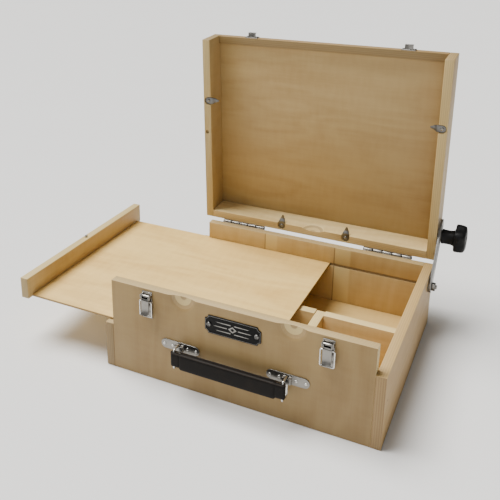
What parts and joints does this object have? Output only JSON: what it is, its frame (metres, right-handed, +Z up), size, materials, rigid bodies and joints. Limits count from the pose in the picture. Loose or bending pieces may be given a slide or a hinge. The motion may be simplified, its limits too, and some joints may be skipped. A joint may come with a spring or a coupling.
{
  "type": "pochade box easel",
  "caption": "Wooden paint box easel with a hinged lid that holds the painting, a slotted lid stay with a clamp knob, a sliding palette, divided tray, draw latches and a carrying handle.",
  "frame": {"origin": "middle of the tray's underside", "axes": "+X to the right-hand side, +Y to the hinged back, +Z up"},
  "size_m": [0.5513, 0.369, 0.4074],
  "materials": {
    "birch_ply": "warm satin stain over plywood",
    "light_ply": "clear satin lacquer on plywood",
    "nickel": "bright nickel plate",
    "steel": "brushed, lightly oiled",
    "black_plastic": "fine moulded satin",
    "black_leather": "black, creased, stitched",
    "black_enamel": "black enamel with bright raised border",
    "brass": "turned brass"
  },
  "bodies": {
    "tray": {"base_front_panel": "birch_ply", "base_back_panel": "birch_ply", "base_left_side": "birch_ply", "base_right_side": "birch_ply", "base_bottom_panel": "light_ply", "long_divider": "birch_ply", "cross_divider": "birch_ply", "hinge_left_base_leaf": "nickel", "hinge_left_pin": "nickel", "hinge_right_base_leaf": "nickel", "hinge_right_pin": "nickel", "stay_spacer": "nickel", "stay_pivot_bolt": "nickel", "stay_pivot_nut": "nickel", "latch_left_plate": "nickel", "latch_left_pin": "nickel", "latch_right_plate": "nickel", "latch_right_pin": "nickel", "handle_left_plate": "nickel", "handle_right_plate": "nickel", "nameplate": "black_enamel", "nameplate_screw_left": "nickel", "nameplate_screw_right": "nickel"},
    "palette": {"palette_board": "light_ply", "palette_cleat": "birch_ply", "palette_pin": "steel"},
    "lid": {"lid_left_side": "birch_ply", "lid_right_side": "birch_ply", "lid_hinge_rail": "birch_ply", "lid_front_rail": "birch_ply", "lid_panel": "light_ply", "panel_clip_left": "steel", "panel_clip_right": "steel", "panel_clip_low_left": "steel", "panel_clip_low_right": "steel", "clip_screw_left": "steel", "clip_screw_right": "steel", "clip_screw_low_left": "steel", "clip_screw_low_right": "steel", "hinge_left_lid_leaf": "nickel", "hinge_right_lid_leaf": "nickel", "knob_insert": "brass", "latch_left_keeper": "nickel", "latch_right_keeper": "nickel"},
    "stay": {"stay_arm": "steel"},
    "knob": {"stay_knob": "black_plastic", "knob_stud": "steel", "knob_washer": "nickel"},
    "left_lever": {"latch_left_lever": "nickel"},
    "left_bail": {"latch_left_bail": "nickel"},
    "right_lever": {"latch_right_lever": "nickel"},
    "right_bail": {"latch_right_bail": "nickel"},
    "left_ring": {"handle_left_ring": "nickel"},
    "right_ring": {"handle_right_ring": "nickel"},
    "grip": {"handle_grip": "black_leather"}
  },
  "joints": [
    {"name": "lid_hinge", "type": "hinge", "parent": "tray", "child": "lid", "pos_m": [0, 0.1528, 0.0962], "axis": [1, 0, 0], "range_deg": [-33, 87]},
    {"name": "stay_swing", "type": "hinge", "parent": "tray", "child": "stay", "pos_m": [0.1878, 0.1166, 0.07695], "axis": [1, 0, 0], "range_deg": [-17, 44]},
    {"name": "knob_turn", "type": "hinge", "parent": "lid", "child": "knob", "pos_m": [0.2, 0.16272, 0.13598], "axis": [1, 0, 0], "range_deg": [0, 360]},
    {"name": "palette_slide", "type": "slide", "parent": "tray", "child": "palette", "axis": [1, 0, 0], "range_m": [-0.06, 0.1415]},
    {"name": "left_lever_lift", "type": "hinge", "parent": "tray", "child": "left_lever", "pos_m": [-0.1185, -0.1536, 0.1218], "axis": [1, 0, 0], "range_deg": [-150, 0]},
    {"name": "left_bail_swing", "type": "hinge", "parent": "left_lever", "child": "left_bail", "pos_m": [-0.1185, -0.1543, 0.1155], "axis": [-1, 0, 0], "range_deg": [0, 180]},
    {"name": "right_lever_lift", "type": "hinge", "parent": "tray", "child": "right_lever", "pos_m": [0.1185, -0.1536, 0.1218], "axis": [1, 0, 0], "range_deg": [-150, 0]},
    {"name": "right_bail_swing", "type": "hinge", "parent": "right_lever", "child": "right_bail", "pos_m": [0.1185, -0.1543, 0.1155], "axis": [-1, 0, 0], "range_deg": [0, 180]},
    {"name": "left_ring_swing", "type": "hinge", "parent": "tray", "child": "left_ring", "pos_m": [-0.0717, -0.1524, 0.06], "axis": [0, 0, 1], "range_deg": [-60, 60]},
    {"name": "right_ring_swing", "type": "hinge", "parent": "tray", "child": "right_ring", "pos_m": [0.0717, -0.1524, 0.06], "axis": [0, 0, 1], "range_deg": [-61, 61]},
    {"name": "grip_turn", "type": "hinge", "parent": "left_ring", "child": "grip", "pos_m": [-0.0717, -0.1675, 0.0528], "axis": [0, 0, 1], "range_deg": [-61, 61]}
  ],
  "couplings": [
    {"joint": "stay_swing", "follows": "lid_hinge", "ratio": 0.5},
    {"joint": "right_ring_swing", "follows": "left_ring_swing", "ratio": 1},
    {"joint": "grip_turn", "follows": "left_ring_swing", "ratio": -1}
  ]
}
